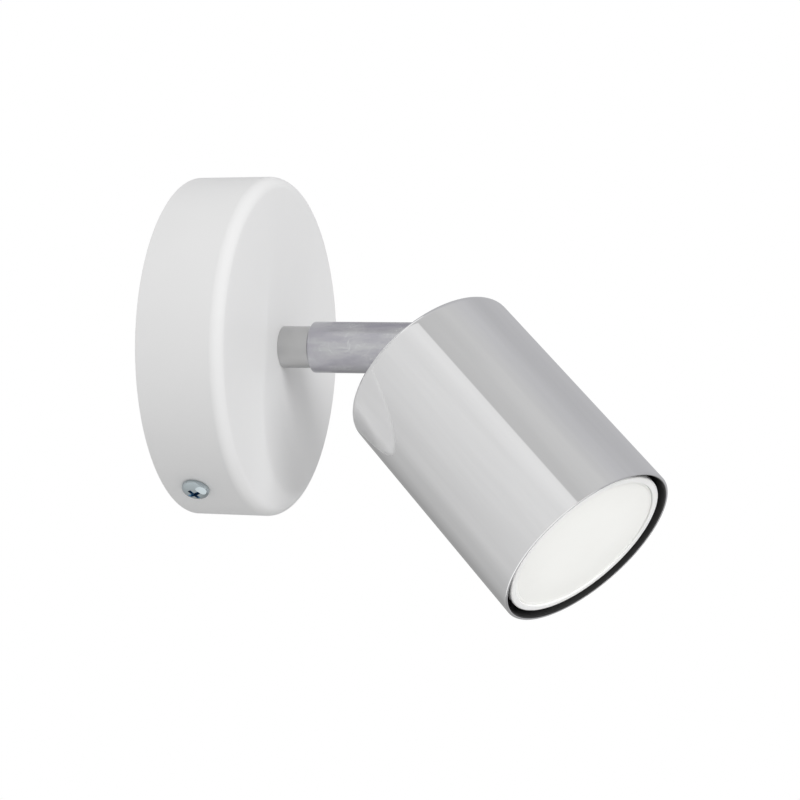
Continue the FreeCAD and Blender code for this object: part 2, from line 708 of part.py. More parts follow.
def keyhole(opposite):
    """Room for one pin: wide entry, narrow slot to the locked place, wide chamber under both."""
    slot_half = "(pin_neck / 2 + body_gap)"
    wide_half = "(pin_head / 2 + body_gap)"
    circle = "pin_circle / 2"
    x, y = pin_place("lock_angle")
    above = "pin_neck_length + 2"
    pieces = [
        sector(circle + " + " + slot_half, circle + " - " + slot_half, above, CHAMBER_TOP, "lock_angle", "0"),
        cylinder(slot_half, above, circle, "0", CHAMBER_TOP),
        cylinder(wide_half, above, x, y, CHAMBER_TOP),
        sector(circle + " + " + wide_half, circle + " - " + wide_half, CHAMBER_HEIGHT, CHAMBER_LOW, "lock_angle",
               "0"),
        cylinder(wide_half, CHAMBER_HEIGHT, circle, "0", CHAMBER_LOW),
        cylinder(wide_half, CHAMBER_HEIGHT, x, y, CHAMBER_LOW),
        cylinder("contact_stem / 2", "socket_floor + 2", circle, "0", SOCKET_LOW + " - 1")]
    return spun(joined(*pieces), opposite)


def socket_body():
    body = cylinder("socket_diameter / 2", "socket_height", z=SOCKET_LOW)
    tools = [keyhole(0), keyhole(180)]
    for side in ("", "0 - "):
        x = side + "socket_screw_circle / 2 * cos(socket_screw_angle)"
        y = side + "socket_screw_circle / 2 * sin(socket_screw_angle)"
        tools.append(cylinder("socket_thread / 2 + loose_gap", "socket_height + 2", x, y, SOCKET_LOW + " - 1"))
        tools.append(cylinder("socket_screw_head / 2 + loose_gap", "socket_screw_head_height + 2", x, y,
                              SOCKET_TOP + " - socket_screw_head_height - 0.2"))
    return cut(body, *tools)


def socket_contact(side):
    x = side + "pin_circle / 2"
    pad = cylinder("contact_diameter / 2", "contact_height", x, "0", CHAMBER_LOW)
    stem = cylinder("contact_stem / 2", "socket_floor", x, "0", SOCKET_LOW)
    return joined(pad, stem)


def socket_screw(side):
    x = side + "socket_screw_circle / 2"
    seat = SOCKET_TOP + " - socket_screw_head_height - 0.2"
    shank = cylinder("socket_thread / 2 - turning_gap", "socket_height - socket_screw_head_height - 0.2"
                     " + holder_thickness + socket_screw_end", x, "0",
                     SOCKET_LOW + " - holder_thickness - socket_screw_end")
    head = cylinder("socket_screw_head / 2", "socket_screw_head_height", x, "0", seat)
    slot = box("socket_screw_head + 1", "0.8", "2", x + " - socket_screw_head / 2 - 0.5", "-0.4",
               SOCKET_TOP + " - 1.2")
    return cut(joined(shank, head), slot)


def socket_holder():
    """Folded strip: a foot clamped in the rear of the head, two legs and two tabs under the socket."""
    half = "holder_half_length"
    width = "holder_width"
    back = "0 - holder_width / 2"
    foot = box("2 * " + half, width, "holder_thickness", "0 - " + half, back, INSIDE)
    rise = SOCKET_LOW + " - " + INSIDE
    pieces = [foot]
    for x in (half + " - holder_thickness", "0 - " + half):
        pieces.append(box("holder_thickness", width, rise, x, back, INSIDE))
    for x in ("holder_tab_inner", "0 - " + half):
        pieces.append(box("holder_half_length - holder_tab_inner", width, "holder_thickness", x, back,
                          SOCKET_LOW + " - holder_thickness"))
    holes = [cylinder("stem_diameter / 2 + turning_gap", "4", z=INSIDE + " - 1")]
    for x in ("socket_screw_circle / 2", "0 - socket_screw_circle / 2"):
        holes.append(cylinder("socket_thread / 2", "4", x, "0", SOCKET_LOW + " - 3"))
    return cut(joined(*pieces), *holes)


def head_lead(side):
    """From the arm joint through the spigot and out to one contact of the lamp holder."""
    inner = "%s * lead_pitch / 2" % side
    outer = "%s * pin_circle / 2" % side
    return wire_solid("head_lead", "lead_diameter", [
        (inner, "0", FLANGE_START + " + 0.1"),
        (inner, "0", REAR + " + " + SPIGOT_LENGTH + " + 0.15"),
        (outer, "0", SOCKET_LOW + " - lead_diameter / 3")])


TURNED_HEAD = HEAD.multiply(FreeCAD.Placement(FreeCAD.Vector(), HOLDER))
node("socket_holder", socket_holder(), TURNED_HEAD)
node("socket_body", socket_body(), HEAD)
node("socket_contacts", group(socket_contact(""), socket_contact("0 - ")), HEAD)
node("socket_screws", group(socket_screw(""), socket_screw("0 - ")), TURNED_HEAD)
node("head_leads", group(head_lead("1"), head_lead("-1")), HEAD)

# ------------------------------------------------------------------ lamp
DIFFUSER_TOP = "(" + LAMP_FACE + " - lamp_ring_step)"
DIFFUSER_LOW = "(" + LAMP_FACE + " - lamp_ring_step - lamp_diffuser_thickness)"
SHELF = "(" + LAMP_FACE + " - lamp_front_height + lamp_wall)"


def lamp_body():
    """Thin body with a round base, a cone and a front ring that holds the diffuser."""
    return turned("lamp_turned", [
        ("0", LAMP_BACK),
        ("lamp_base_diameter / 2", LAMP_BACK),
        ("lamp_base_diameter / 2", LAMP_BACK + " + lamp_base_height"),
        ("lamp_diameter / 2", LAMP_FACE + " - lamp_front_height"),
        ("lamp_diameter / 2", LAMP_FACE),
        ("lamp_diameter / 2 - lamp_ring", LAMP_FACE),
        ("lamp_diameter / 2 - lamp_ring", DIFFUSER_LOW),
        ("lamp_diameter / 2 - lamp_ring - lamp_seat", DIFFUSER_LOW),
        ("lamp_diameter / 2 - lamp_ring - lamp_seat", SHELF),
        ("lamp_board_diameter / 2", LAMP_BACK + " + lamp_board_height"),
        ("lamp_base_diameter / 2 - lamp_wall", LAMP_BACK + " + lamp_board_height"),
        ("lamp_base_diameter / 2 - lamp_wall", LAMP_BACK + " + lamp_wall"),
        ("0", LAMP_BACK + " + lamp_wall")])


def lamp_pin(side):
    x = side + "pin_circle / 2"
    neck = cylinder("pin_neck / 2", "pin_neck_length", x, "0", LAMP_BACK + " - pin_neck_length")
    cap = cylinder("pin_head / 2", "pin_head_length", x, "0", LAMP_BACK + " - pin_neck_length - pin_head_length")
    return joined(neck, cap)


node("lamp_body", lamp_body(), HEAD)
node("lamp_diffuser", cylinder("lamp_diameter / 2 - lamp_ring", "lamp_diffuser_thickness", z=DIFFUSER_LOW), HEAD)
node("lamp_light_board", cylinder("lamp_board_diameter / 2 - loose_gap", "lamp_board_thickness",
                                  z=LAMP_BACK + " + lamp_board_height"), HEAD)
node("lamp_pins", group(lamp_pin(""), lamp_pin("0 - ")), HEAD)

# ------------------------------------------------------------------ build and write
doc.recompute()

for item in doc.Objects:
    if "Invalid" in item.State or "Error" in item.State:
        raise RuntimeError("%s (%s) did not build" % (item.Label, item.Name))

os.makedirs("parts", exist_ok=True)
for piece in nodes:
    shape = piece.Shape
    if shape.isNull() or not shape.isValid() or not shape.Solids:
        raise RuntimeError("%s has no valid solid" % piece.Label)
    shape.exportStep("parts/%s.step" % piece.Label)
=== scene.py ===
# Pivoting spotlight wall light: a white canopy on the wall, a short chrome arm and a tilting chrome head.
# Metres; the wall is the plane y = 0, Z is up and the light reaches out towards -Y.

import json
import math

import bpy
from mathutils import Matrix, Vector


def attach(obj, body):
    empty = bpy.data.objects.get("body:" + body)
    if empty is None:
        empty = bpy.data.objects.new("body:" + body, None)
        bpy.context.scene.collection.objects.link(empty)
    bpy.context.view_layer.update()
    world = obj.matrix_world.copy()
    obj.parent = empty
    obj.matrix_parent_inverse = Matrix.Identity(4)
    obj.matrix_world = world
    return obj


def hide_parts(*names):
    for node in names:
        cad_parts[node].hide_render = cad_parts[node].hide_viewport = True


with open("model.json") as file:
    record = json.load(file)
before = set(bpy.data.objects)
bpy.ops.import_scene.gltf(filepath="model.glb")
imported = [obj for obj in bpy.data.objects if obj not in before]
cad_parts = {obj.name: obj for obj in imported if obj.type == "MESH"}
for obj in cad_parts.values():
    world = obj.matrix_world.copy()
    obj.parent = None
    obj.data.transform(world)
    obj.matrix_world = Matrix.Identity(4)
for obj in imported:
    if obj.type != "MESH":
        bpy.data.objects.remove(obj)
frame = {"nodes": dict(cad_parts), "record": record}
NODES = frame["nodes"]
BODY_OF = {node: body for body, nodes in frame["record"]["behaviour"]["bodies"].items() for node in nodes}
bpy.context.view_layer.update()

MM = 0.001

# Angles in degrees
SWIVEL = 23.5
TILT = 45.7
PLATE_LINE = 56

# Sizes in millimetres. Heights in the head and the lamp start at the pivot, all others at the wall.
PIVOT_DISTANCE = 64.7
BORE = 4.05
CANOPY_RADIUS = 50
CANOPY_DEPTH = 25.2
CANOPY_WALL = 1.2
CANOPY_EDGE = 3.5
COLLAR_RADIUS = 6.15
COLLAR_END = 34.4
ARM_RADIUS = 7.5
ARM_START = 34.75
ARM_END = 56.25
ARM_WALL = 1.2
ARM_END_WALL = 4
HEAD_RADIUS = 27.6
HEAD_WALL = 1.0
HEAD_REAR = 8.55
HEAD_REAR_WALL = 1.2
HEAD_REAR_EDGE = 2.4
HEAD_RIM = 82.9
HEAD_RIM_EDGE = 0.4
LAMP_RADIUS = 25
LAMP_FACE = 81.9
LAMP_BACK = 35.4
LAMP_RING = 2
LAMP_WALL = 1.6
LAMP_FRONT_HEIGHT = 9
LAMP_BASE_RADIUS = 11.5
LAMP_BASE_HEIGHT = 14
LAMP_BOARD_RADIUS = 15
LAMP_BOARD_HEIGHT = 26
DIFFUSER_SEAT = 2
SIDE_SCREW_HEIGHT = 10

# Where a piece's own Z points: straight out from the wall, along the swivelled arm, or along the tilted head
BASE = Matrix.Rotation(math.radians(90), 4, "X")
PLATE = BASE @ Matrix.Rotation(math.radians(PLATE_LINE), 4, "Z")
ARM = Matrix.Rotation(math.radians(SWIVEL), 4, "Y") @ BASE
PIVOT = Matrix.Translation((0, -PIVOT_DISTANCE * MM, 0))
HEAD = PIVOT @ ARM @ Matrix.Rotation(math.radians(TILT), 4, "X")


# ---------------------------------------------------------------- shaping

def deselect_all():
    if bpy.context.object and bpy.context.object.mode != "OBJECT":
        bpy.ops.object.mode_set(mode="OBJECT")
    bpy.ops.object.select_all(action="DESELECT")


def work_on(piece):
    deselect_all()
    piece.select_set(True)
    bpy.context.view_layer.objects.active = piece


def select_where(piece, kind, test):
    """In edit mode, select the edges or polygons whose corners together pass a test."""
    bpy.ops.mesh.select_mode(type={"edges": "EDGE", "polygons": "FACE"}[kind])
    bpy.ops.mesh.select_all(action="DESELECT")
    bpy.ops.object.mode_set(mode="OBJECT")
    corners = piece.data.vertices
    for item in getattr(piece.data, kind):
        item.select = test([corners[i].co for i in item.vertices])
    bpy.ops.object.mode_set(mode="EDIT")


def on_ring(radius, height, slack=0.02):
    """A test for what lies on the circle of that radius and height, in millimetres."""
    def lies_there(point):
        return (abs(point.z / MM - height) < slack
                and abs(math.hypot(point.x, point.y) / MM - radius) < slack)
    return lambda points: all(lies_there(point) for point in points)


def draw_up(rings):
    """Extrude the selected circle from ring to ring."""
    for (radius, height), (next_radius, next_height) in zip(rings, rings[1:]):
        rise = (0, 0, (next_height - height) * MM)
        factor = next_radius / radius
        bpy.ops.mesh.extrude_region_move(TRANSFORM_OT_translate={"value": rise})
        bpy.ops.transform.resize(value=(factor, factor, 1), center_override=(0, 0, next_height * MM))


def leave_facing_out():
    """Turn every face outwards and leave edit mode."""
    bpy.ops.mesh.select_all(action="SELECT")
    bpy.ops.mesh.normals_make_consistent(inside=False)
    bpy.ops.object.mode_set(mode="OBJECT")


def turned(name, rings, rounding=(), sides=128, hollow=True):
    """A round piece, drawn up from a circle as on a lathe: rings are (radius, height) in millimetres.

    A hollow piece's last ring meets its first; a full one starts as a disc and is left open at its last ring.
    rounding holds (radius, height, width, segments) of the edges that are rounded."""
    deselect_all()
    radius, height = rings[0]
    bpy.ops.mesh.primitive_circle_add(vertices=sides, radius=radius * MM, location=(0, 0, 0),
                                      fill_type="NOTHING" if hollow else "NGON")
    piece = bpy.context.object
    piece.name = name
    bpy.ops.object.mode_set(mode="EDIT")
    bpy.ops.mesh.select_all(action="SELECT")
    bpy.ops.transform.translate(value=(0, 0, height * MM))
    if hollow:
        draw_up(rings + [rings[0]])
        bpy.ops.mesh.select_all(action="SELECT")
        bpy.ops.mesh.remove_doubles(threshold=0.01 * MM)
    else:
        draw_up(rings)
    for radius, height, width, segments in rounding:
        select_where(piece, "edges", on_ring(radius, height))
        bpy.ops.mesh.bevel(offset=width * MM, segments=segments, profile=0.5, affect="EDGES")
    leave_facing_out()
    return piece


def close_end(piece, radius, height):
    """Enter edit mode, close the open ring of a full turned piece with a face and leave that selected."""
    bpy.ops.object.mode_set(mode="EDIT")
    select_where(piece, "edges", on_ring(radius, height))
    bpy.ops.mesh.edge_face_add()


def smoothed(piece):
    """Smooth shading with crisp corners, where flat and round faces stay true up to their rounded edges."""
    bpy.ops.object.shade_smooth_by_angle(angle=math.radians(32))
    true_faces = piece.modifiers.new("true_faces", "WEIGHTED_NORMAL")
    true_faces.weight = 100
    true_faces.keep_sharp = True
    bpy.ops.object.modifier_apply(modifier="true_faces")
    return piece


def set_in_place(piece, place):
    """Bake a piece's place into its mesh and shade it."""
    work_on(piece)
    piece.matrix_world = place
    bpy.ops.object.transform_apply(location=True, rotation=True, scale=True)
    return smoothed(piece)


def in_two_finishes(piece, finish, second, is_second):
    """Give a piece two materials, the second where a test of a face's radius and height in mm says so."""
    piece.data.materials.append(finish)
    piece.data.materials.append(second)
    for face in piece.data.polygons:
        middle = face.center / MM
        if is_second(math.hypot(middle.x, middle.y), middle.z):
            face.material_index = 1


def dressed(piece, node, *finish):
    """Hand a finished piece its material, and let it stand for its node and ride where that rides."""
    for material in finish:
        piece.data.materials.append(material)
    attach(piece, BODY_OF[node])
    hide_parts(node)


# ---------------------------------------------------------------- shader maths

class Value:
    """A number socket that can be used in Python expressions."""

    def __init__(self, shading, socket):
        self.shading = shading
        self.socket = socket

    def math(self, operation, other=None, flip=False, clamp=False):
        node = self.shading.node("ShaderNodeMath", {"operation": operation, "use_clamp": clamp})
        order = [other, self] if flip else [self, other]
        for slot, item in zip(node.inputs, order):
            if item is not None:
                self.shading.feed(slot, item)
        return Value(self.shading, node.outputs[0])

    def __add__(self, other):
        return self.math("ADD", other)

    def __sub__(self, other):
        return self.math("SUBTRACT", other)

    def __rsub__(self, other):
        return self.math("SUBTRACT", other, flip=True)

    def __mul__(self, other):
        return self.math("MULTIPLY", other)

    __radd__ = __add__
    __rmul__ = __mul__

    def step(self, low, high):
        """Zero under low, one over high and smooth between."""
        node = self.shading.node("ShaderNodeMapRange", {"interpolation_type": "SMOOTHSTEP"},
                                 Value=self, From_Min=low, From_Max=high)
        return Value(self.shading, node.outputs["Result"])


class Shading:
    """A node tree being wired."""

    def __init__(self, tree):
        self.tree = tree

    def node(self, kind, settings=None, **sockets):
        """A new node: first its settings, then the values or links of its sockets."""
        made = self.tree.nodes.new(kind)
        for key, value in (settings or {}).items():
            setattr(made, key, value)
        for key, value in sockets.items():
            self.feed(made.inputs[key.replace("_", " ")], value)
        return made

    def feed(self, socket, value):
        if isinstance(value, Value):
            self.tree.links.new(value.socket, socket)
        elif isinstance(value, bpy.types.NodeSocket):
            self.tree.links.new(value, socket)
        else:
            socket.default_value = value


class Finish(Shading):
    """A material being built: its nodes, and the shader they feed."""

    def __init__(self, name, **constants):
        self.material = bpy.data.materials.new(name)
        self.material.use_nodes = True
        super().__init__(self.material.node_tree)
        self.shader = self.tree.nodes["Principled BSDF"]
        self.place = self.node("ShaderNodeTexCoord").outputs["Object"]
        self.set(**constants)

    def set(self, **sockets):
        for key, value in sockets.items():
            self.feed(self.shader.inputs[key.replace("_", " ")], value)

    def noise(self, scale, detail=3, roughness=0.5, stretch=(1, 1, 1), along=BASE):
        """Noise laid out on a piece's own axes, drawn out along them by the stretch."""
        mapped = self.node("ShaderNodeMapping", {"vector_type": "TEXTURE"}, Vector=self.place,
                           Location=along.to_translation(), Rotation=along.to_euler(), Scale=stretch)
        made = self.node("ShaderNodeTexNoise", Vector=mapped.outputs[0], Scale=scale, Detail=detail,
                         Roughness=roughness)
        return Value(self, made.outputs[0])

    def mix(self, factor, first, second):
        """A colour between two, by a factor."""
        made = self.node("ShaderNodeMix", {"data_type": "RGBA"})
        self.feed(made.inputs[0], factor)
        self.feed(made.inputs[6], first)
        self.feed(made.inputs[7], second)
        return made.outputs[2]

    def bump(self, height, strength, distance):
        made = self.node("ShaderNodeBump", Strength=strength, Distance=distance, Height=height)
        self.set(Normal=made.outputs[0])


# ---------------------------------------------------------------- finishes

def grey(level, blue=0.0):
    return (level, level, level + blue, 1.0)


def satin_paint(name, colour, darker, roughness=0.36):
    """Sprayed paint: a faint skin like orange peel and a slight change of tone."""
    made = Finish(name, IOR=1.5)
    tone = made.noise(26, 2)
    peel = made.noise(900, 2, 0.4)
    made.set(Base_Color=made.mix(tone.step(0.35, 0.7), colour, darker), Roughness=roughness + 0.05 * tone)
    made.bump(peel, 0.05, 0.05 * MM)
    return made.material


def polished_chrome():
    """Bright plating with faint streaks along the head from drawing and wiping."""
    made = Finish("bright_chrome", Metallic=1.0)
    streak = made.noise(260, 3, 0.55, (1, 1, 14), HEAD)
    broad = made.noise(90, 2, 0.5, (1, 1, 9), HEAD)
    haze = made.noise(45, 3, 0.6, (1, 1, 2), HEAD)
    tone = streak.step(0.32, 0.68) * 0.45 + broad.step(0.3, 0.7) * 0.55
    made.set(Base_Color=made.mix(tone, grey(0.765, 0.004), grey(0.83, 0.004)),
             Roughness=0.03 + 0.03 * haze.step(0.35, 0.75) + 0.015 * streak)
    made.bump(broad, 0.025, 0.2 * MM)
    return made.material


def cloudy_plating(name, along):
    """Dull plating with clouds, scuffs and scratches of a slightly purple grey, drawn out along the piece."""
    light, dark, scratched = (0.62, 0.625, 0.635, 1), (0.45, 0.44, 0.49, 1), (0.78, 0.79, 0.80, 1)
    made = Finish(name, Metallic=1.0)
    cloud = made.noise(150, 5, 0.6, (1, 1, 2.2), along)
    scuff = made.noise(420, 4, 0.65, (1, 1, 5), along)
    fine = made.noise(1500, 2, 0.6)
    line = made.noise(230, 2, 0.5, (1, 1, 0.7), along)
    scratch = (1 - (line - 0.5).math("ABSOLUTE").step(0.002, 0.012)) * cloud.step(0.45, 0.6)
    tone = cloud.step(0.34, 0.68) * 0.6 + scuff.step(0.35, 0.7) * 0.4
    made.set(Base_Color=made.mix(scratch * 0.6, made.mix(tone, dark, light), scratched),
             Roughness=0.15 + 0.13 * cloud + 0.06 * scuff)
    made.bump(scuff * 0.7 + fine * 0.3, 0.10, 0.1 * MM)
    return made.material


def satin_metal(name, light, dark, roughness, scale, stretch=(1, 1, 1), strength=0.08):
    """Plain worked metal: fine grain, roughness that wanders and a little tone."""
    made = Finish(name, Metallic=1.0)
    tone = made.noise(60, 3, 0.55)
    grain = made.noise(scale, 3, 0.6, stretch)
    made.set(Base_Color=made.mix(tone.step(0.35, 0.7), light, dark), Roughness=roughness + 0.12 * grain)
    made.bump(grain, strength, 0.1 * MM)
    return made.material


def moulded(name, colour, darker, roughness, scale=700, strength=0.06):
    """Moulded or fired material: fine skin, slight mottling."""
    made = Finish(name)
    tone = made.noise(70, 3, 0.5)
    skin = made.noise(scale, 3, 0.6)
    made.set(Base_Color=made.mix(tone.step(0.35, 0.7), colour, darker), Roughness=roughness + 0.08 * skin)
    made.bump(skin, strength, 0.08 * MM)
    return made.material


def earth_sleeve():
    """Green sleeve with yellow bands along it."""
    made = Finish("earth_sleeve")
    band = made.node("ShaderNodeTexWave", {"wave_type": "BANDS", "bands_direction": "Z"}, Vector=made.place,
                     Scale=90.0, Distortion=1.2)
    wave = Value(made, band.outputs[1])
    made.set(Base_Color=made.mix(wave.step(0.45, 0.55), (0.04, 0.22, 0.05, 1), (0.66, 0.52, 0.05, 1)),
             Roughness=0.45 + 0.1 * made.noise(500))
    return made.material


WHITE_PAINT = satin_paint("white_paint", grey(0.76), grey(0.745))
INSIDE_BLACK = satin_paint("inside_black", grey(0.016), grey(0.024), roughness=0.42)
CHROME = polished_chrome()
ARM_PLATING = cloudy_plating("arm_plating", ARM)
KNUCKLE_PLATING = cloudy_plating("knuckle_plating", HEAD)
COLLAR_GREY = satin_metal("collar_grey", grey(0.56), grey(0.50), 0.24, 700, (1, 1, 4), strength=0.04)
ZINC = satin_metal("zinc_steel", (0.53, 0.59, 0.61, 1), (0.38, 0.44, 0.48, 1), 0.03, 260, strength=0.1)
# Painted shade: darker blue steel for the faces inside the screws' cross recess
RECESS_PAINTED_SHADE = satin_metal("recess_painted_shade", (0.09, 0.20, 0.32, 1), (0.04, 0.11, 0.19, 1), 0.3, 400)
STEEL = satin_metal("plain_steel", grey(0.56), grey(0.46), 0.3, 420, (1, 1, 4))
BRASS = satin_metal("turned_brass", (0.72, 0.52, 0.22, 1), (0.60, 0.42, 0.16, 1), 0.28, 600)
BOARD = satin_metal("board_metal", grey(0.72), grey(0.66), 0.4, 500)
CERAMIC = moulded("lamp_holder_ceramic", (0.80, 0.78, 0.73, 1), (0.72, 0.70, 0.65, 1), 0.45)
BLOCK = moulded("terminal_block_plastic", (0.76, 0.74, 0.68, 1), (0.70, 0.68, 0.62, 1), 0.42)
LAMP_WHITE = moulded("lamp_body_white", (0.87, 0.87, 0.86, 1), (0.855, 0.855, 0.845, 1), 0.3, 800, 0.03)
DIFFUSER = moulded("lamp_diffuser_frost", (0.85, 0.85, 0.825, 1), (0.84, 0.84, 0.815, 1), 0.5, 1400, 0.05)
LIVE = moulded("live_sleeve", (0.17, 0.06, 0.025, 1), (0.13, 0.045, 0.02, 1), 0.5)
NEUTRAL = moulded("neutral_sleeve", (0.03, 0.10, 0.32, 1), (0.02, 0.08, 0.26, 1), 0.5)
EARTH = earth_sleeve()
HEAD_SLEEVE = moulded("head_sleeve", (0.72, 0.71, 0.67, 1), (0.66, 0.65, 0.61, 1), 0.55)


# ---------------------------------------------------------------- canopy, collar and arm

def canopy_cup():
    """Round cup, open to the wall, with a soft front edge."""
    inner = CANOPY_RADIUS - CANOPY_WALL
    under = CANOPY_DEPTH - CANOPY_WALL
    rings = [(BORE, CANOPY_DEPTH), (CANOPY_RADIUS, CANOPY_DEPTH), (CANOPY_RADIUS, 0),
             (inner, 0), (inner, under), (BORE, under)]
    rounding = [(CANOPY_RADIUS, CANOPY_DEPTH, CANOPY_EDGE, 10), (inner, under, CANOPY_EDGE - CANOPY_WALL, 5),
                (CANOPY_RADIUS, 0, 0.25, 2)]
    return set_in_place(turned("canopy_cup", rings, rounding, 192), BASE)


def collar_sleeve():
    """Short sleeve between canopy and arm."""
    rings = [(BORE, CANOPY_DEPTH), (COLLAR_RADIUS, CANOPY_DEPTH),
             (COLLAR_RADIUS, COLLAR_END), (BORE, COLLAR_END)]
    rounding = [(COLLAR_RADIUS, COLLAR_END, 0.25, 3), (COLLAR_RADIUS, CANOPY_DEPTH, 0.15, 2)]
    return set_in_place(turned("collar_sleeve", rings, rounding, 96), BASE)


def arm_sleeve():
    """Tube with a thick end wall towards the collar."""
    inner = ARM_RADIUS - ARM_WALL
    wall_end = ARM_START + ARM_END_WALL
    rings = [(BORE, ARM_START), (ARM_RADIUS, ARM_START), (ARM_RADIUS, ARM_END),
             (inner, ARM_END), (inner, wall_end), (BORE, wall_end)]
    return set_in_place(turned("arm_sleeve", rings, [(ARM_RADIUS, ARM_START, 0.5, 4)], 96), ARM)


dressed(canopy_cup(), "canopy", WHITE_PAINT)
dressed(collar_sleeve(), "collar", COLLAR_GREY)
dressed(arm_sleeve(), "arm_tube", ARM_PLATING)


# ---------------------------------------------------------------- head and lamp

def head_shell():
    """Chrome cylinder, open at the front and black inside."""
    inner = HEAD_RADIUS - HEAD_WALL
    wall_end = HEAD_REAR + HEAD_REAR_WALL
    rings = [(BORE, HEAD_REAR), (HEAD_RADIUS, HEAD_REAR), (HEAD_RADIUS, HEAD_RIM),
             (inner, HEAD_RIM), (inner, wall_end), (BORE, wall_end)]
    rounding = [(HEAD_RADIUS, HEAD_REAR, HEAD_REAR_EDGE, 8), (HEAD_RADIUS, HEAD_RIM, HEAD_RIM_EDGE, 4),
                (inner, HEAD_RIM, HEAD_RIM_EDGE, 4), (inner, wall_end, HEAD_REAR_EDGE - HEAD_WALL, 4)]
    shell = turned("head_shell_turned", rings, rounding, 192)
    in_two_finishes(shell, CHROME, INSIDE_BLACK,
                    lambda radius, height: radius < inner + 0.2 and height > wall_end - 0.1)
    return set_in_place(shell, HEAD)


def lamp_housing():
    """Lamp body: a ring round the face, a cone and a narrow base, with the seats of diffuser and board."""
    window = LAMP_RADIUS - LAMP_RING
    seat = LAMP_FACE - DIFFUSER_SEAT
    cone_end = LAMP_FACE - LAMP_FRONT_HEIGHT
    board = LAMP_BACK + LAMP_BOARD_HEIGHT
    base_inner = LAMP_BASE_RADIUS - LAMP_WALL
    base_floor = LAMP_BACK + LAMP_WALL
    rings = [(window, seat), (window, LAMP_FACE), (LAMP_RADIUS, LAMP_FACE), (LAMP_RADIUS, cone_end),
             (LAMP_BASE_RADIUS, LAMP_BACK + LAMP_BASE_HEIGHT), (LAMP_BASE_RADIUS, LAMP_BACK), (2, LAMP_BACK),
             (2, base_floor), (base_inner, base_floor), (base_inner, board), (LAMP_BOARD_RADIUS, board),
             (window - 1, cone_end + LAMP_WALL), (window - 1, seat)]
    rounding = [(LAMP_RADIUS, LAMP_FACE, 0.5, 4), (window, LAMP_FACE, 0.3, 3),
                (LAMP_RADIUS, cone_end, 1.5, 4), (LAMP_BASE_RADIUS, LAMP_BACK, 0.8, 3)]
    return set_in_place(turned("lamp_housing", rings, rounding, 128), HEAD)


def diffuser_disc():
    """Frosted disc with a shallow groove round a slightly crowned middle."""
    radius = LAMP_RADIUS - LAMP_RING - 0.05
    top = LAMP_FACE - 0.5
    disc = turned("lamp_diffuser_disc", [(radius, LAMP_FACE - DIFFUSER_SEAT), (radius, top)], hollow=False)
    close_end(disc, radius, top)
    for inset, lift in ((0.5, 0.0), (0.2, -0.06), (0.2, 0.06), (5, 0.08), (6, 0.05), (6, 0.02)):
        bpy.ops.mesh.inset(thickness=inset * MM, depth=0)
        bpy.ops.transform.translate(value=(0, 0, lift * MM))
    leave_facing_out()
    return set_in_place(disc, HEAD)


dressed(head_shell(), "head_shell")
dressed(lamp_housing(), "lamp_body", LAMP_WHITE)
dressed(diffuser_disc(), "lamp_diffuser", DIFFUSER)


# ---------------------------------------------------------------- side screws

# Radius and height of the screw's domed head, from its side to its crown, in millimetres above its seat
SCREW_DOME = [(4, 0.9), (3.75, 1.4), (3.25, 1.85), (2.6, 2.15), (1.9, 2.33), (1.0, 2.4)]
CROWN_RADIUS, CROWN_HEIGHT = SCREW_DOME[-1]
SHANK_RADIUS = 1.95
SHANK_LENGTH = 8
RECESS_LENGTH, RECESS_WIDTH, RECESS_DEPTH = 6.4, 1.35, 1.2


def dome_height(radius):
    """Height of the screw's head at a radius."""
    if radius <= CROWN_RADIUS:
        return CROWN_HEIGHT
    for (outer, low), (inner, high) in zip(SCREW_DOME, SCREW_DOME[1:]):
        if inner < radius <= outer:
            return low + (high - low) * (outer - radius) / (outer - inner)
    return 0.0


def recess_bar(turn):
    """One tapered bar of the cross that is cut into the screw's head, its middle at the crown."""
    deselect_all()
    bpy.ops.mesh.primitive_cube_add(size=1, location=(0, 0, 0))
    bar = bpy.context.object
    bpy.ops.object.mode_set(mode="EDIT")
    bpy.ops.mesh.select_all(action="SELECT")
    bpy.ops.transform.resize(value=(RECESS_LENGTH * MM, RECESS_WIDTH * MM, 2 * RECESS_DEPTH * MM),
                             center_override=(0, 0, 0))
    select_where(bar, "polygons", lambda points: all(point.z < 0 for point in points))
    bpy.ops.transform.resize(value=(0.35, 0.7, 1), center_override=(0, 0, -RECESS_DEPTH * MM))
    bpy.ops.object.mode_set(mode="OBJECT")
    bar.matrix_world = Matrix.Translation((0, 0, CROWN_HEIGHT * MM)) @ Matrix.Rotation(turn, 4, "Z")
    work_on(bar)
    bpy.ops.object.transform_apply(location=True, rotation=True, scale=True)
    return bar


def cut_away(piece, cutter):
    """Take a cutter's shape out of a piece, and the cutter out of the scene."""
    work_on(piece)
    cut = piece.modifiers.new("recess", "BOOLEAN")
    cut.operation = "DIFFERENCE"
    cut.object = cutter
    bpy.ops.object.modifier_apply(modifier="recess")
    bpy.data.objects.remove(cutter)


def side_screw(name, place):
    """Pan head screw with a cross recess, its seat at height zero, the recess painted darker as its shade."""
    side_radius, side_height = SCREW_DOME[0]
    rings = [(SHANK_RADIUS, -SHANK_LENGTH), (SHANK_RADIUS, 0), (side_radius, 0)] + SCREW_DOME
    rounding = [(side_radius, side_height, 0.3, 3), (side_radius, 0, 0.15, 2),
                (SHANK_RADIUS, -SHANK_LENGTH, 0.4, 2)]
    screw = turned(name, rings, rounding, 64, hollow=False)
    close_end(screw, CROWN_RADIUS, CROWN_HEIGHT)
    leave_facing_out()
    for bar in [recess_bar(turn) for turn in (0, math.radians(90))]:
        cut_away(screw, bar)
    # The faces inside the cross recess take the darker blue steel, painted shade of the hollow
    in_two_finishes(screw, ZINC, RECESS_PAINTED_SHADE,
                    lambda radius, height: radius < 2.9 and 1.0 < height < dome_height(radius) - 0.12)
    return set_in_place(screw, place)


